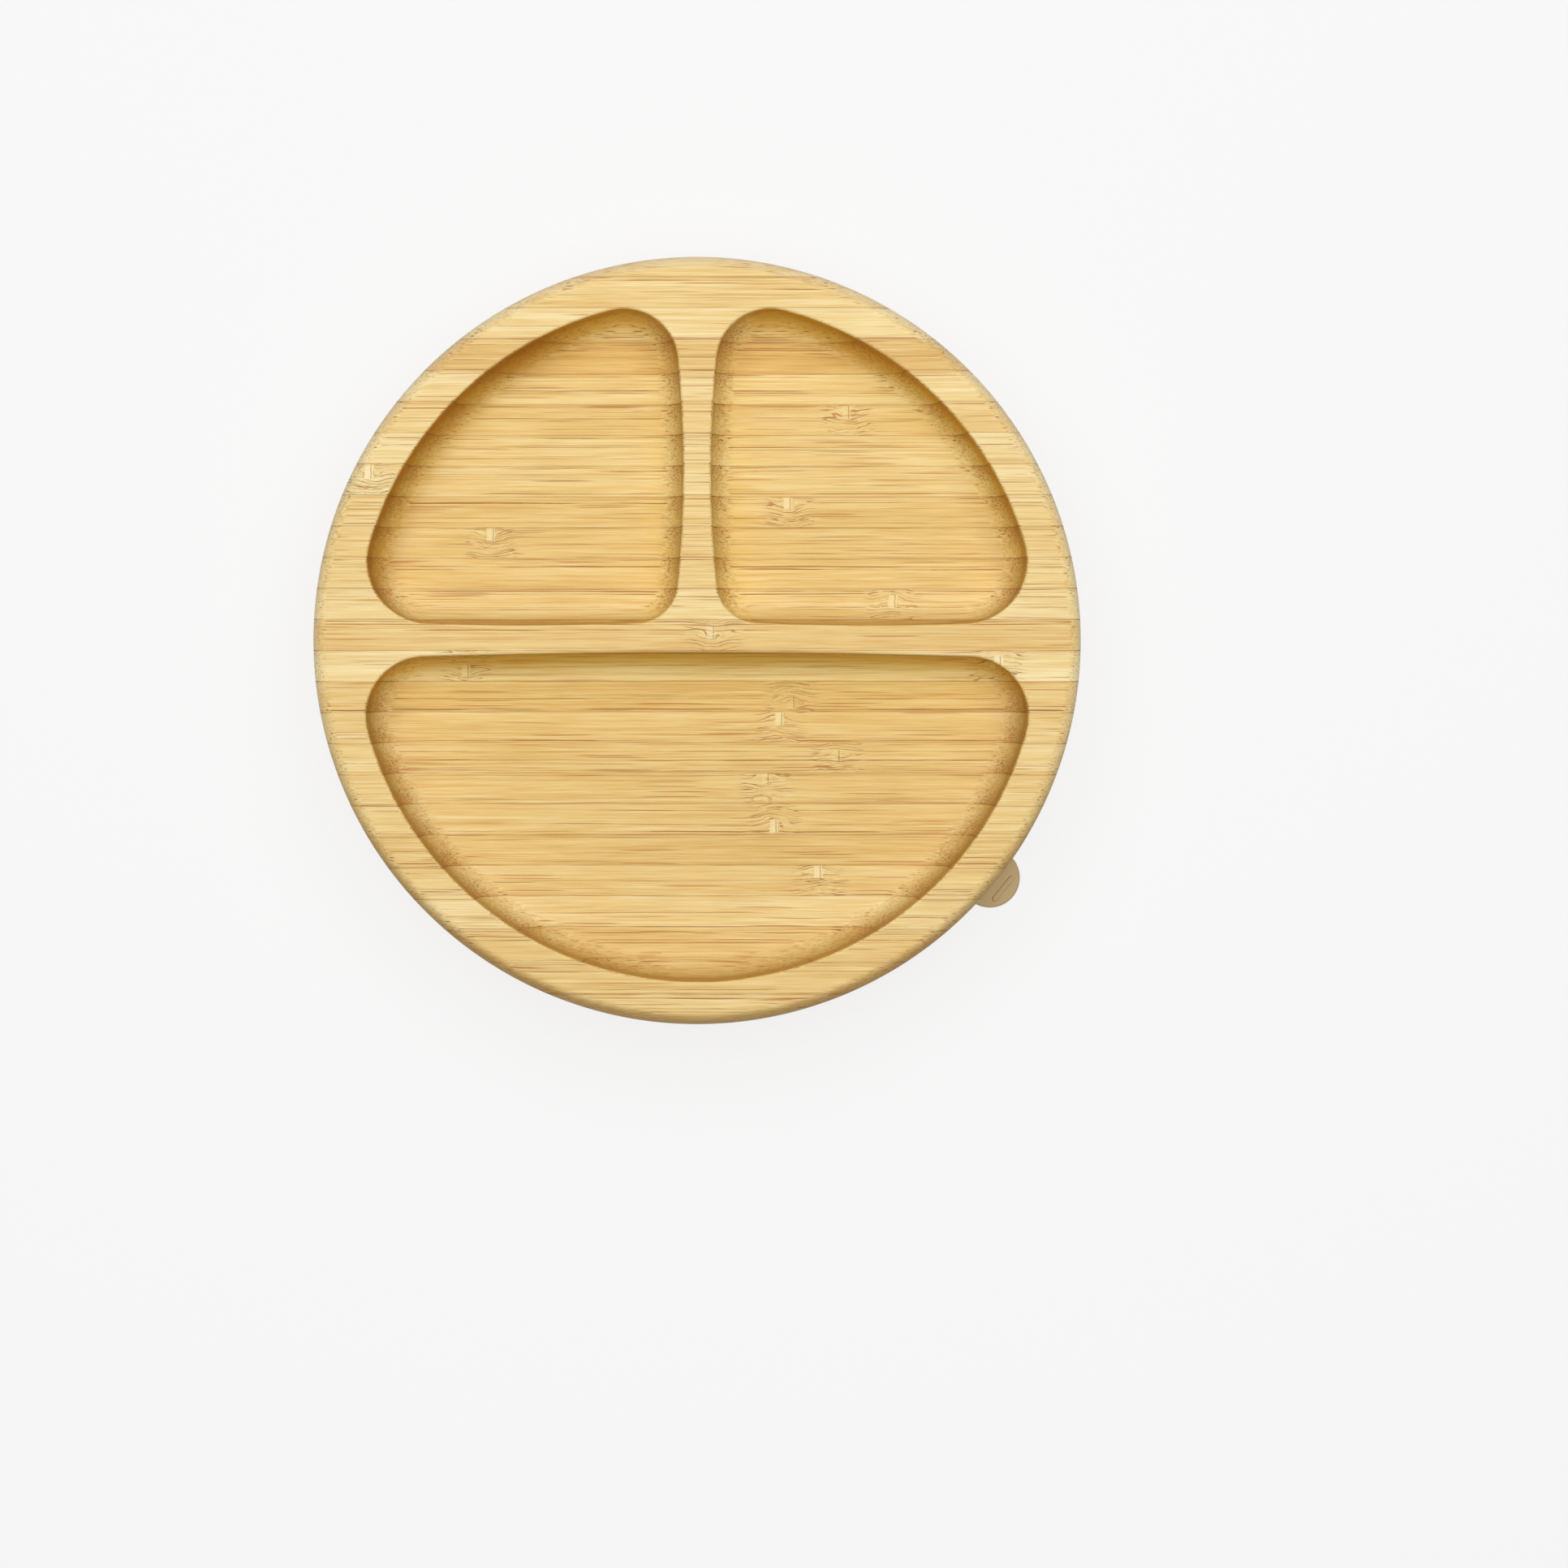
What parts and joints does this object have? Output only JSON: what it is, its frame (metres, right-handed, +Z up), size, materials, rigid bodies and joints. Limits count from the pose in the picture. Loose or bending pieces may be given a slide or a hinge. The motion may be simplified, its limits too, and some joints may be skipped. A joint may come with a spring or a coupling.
{
  "type": "baby suction plate",
  "caption": "Round bamboo baby plate with carved food pockets between dividers, on a foot disc that holds a beige silicone suction ring with a pull tab.",
  "frame": {"origin": "on the plate's axis, at the table that the suction lip rests on", "axes": "+Z up out of the food side; +X to the right in the picture, along the bamboo grain; +Y away from the eater, towards the two small pockets"},
  "size_m": [0.18, 0.18, 0.0325],
  "materials": {
    "bamboo": "sanded and oiled, satin; side-pressed strips with fine brown grain lines and knuckles",
    "pressed_bamboo": "sanded, matte; flat-pressed strip face with fine orange-brown streaks",
    "silicone": "matte opaque beige silicone"
  },
  "bodies": {
    "ring": {"suction_ring": "silicone"},
    "plate": {"bamboo_stave_01": "bamboo", "bamboo_stave_02": "bamboo", "bamboo_stave_03": "bamboo", "bamboo_stave_04": "bamboo", "bamboo_stave_05": "bamboo", "bamboo_stave_06": "bamboo", "bamboo_stave_07": "bamboo", "bamboo_stave_08": "bamboo", "bamboo_stave_09": "bamboo", "bamboo_stave_10": "bamboo", "bamboo_stave_11": "bamboo", "bamboo_stave_12": "bamboo", "bamboo_stave_13": "bamboo", "bamboo_stave_14": "bamboo", "bamboo_stave_15": "bamboo", "bamboo_stave_16": "bamboo", "bamboo_stave_17": "bamboo", "bamboo_stave_18": "bamboo", "bamboo_stave_19": "bamboo", "bamboo_stave_20": "bamboo", "bamboo_stave_21": "bamboo", "bamboo_stave_22": "bamboo", "bamboo_stave_23": "bamboo", "bamboo_stave_24": "bamboo", "bamboo_stave_25": "bamboo", "foot_disc": "pressed_bamboo"},
    "tab": {"pull_tab": "silicone"}
  },
  "joints": [
    {"name": "plate_lift_off", "type": "slide", "parent": "ring", "child": "plate", "axis": [0, 0, 1], "range_m": [0, 0.02], "deforming": ["suction_ring"]},
    {"name": "pull_tab_lift", "type": "hinge", "parent": "ring", "child": "tab", "pos_m": [0.06229, -0.05044, 0.0024], "axis": [-0.6293, -0.7771, 0], "range_deg": [0, 45], "stiffness_Nm_per_rad": 0.004}
  ]
}
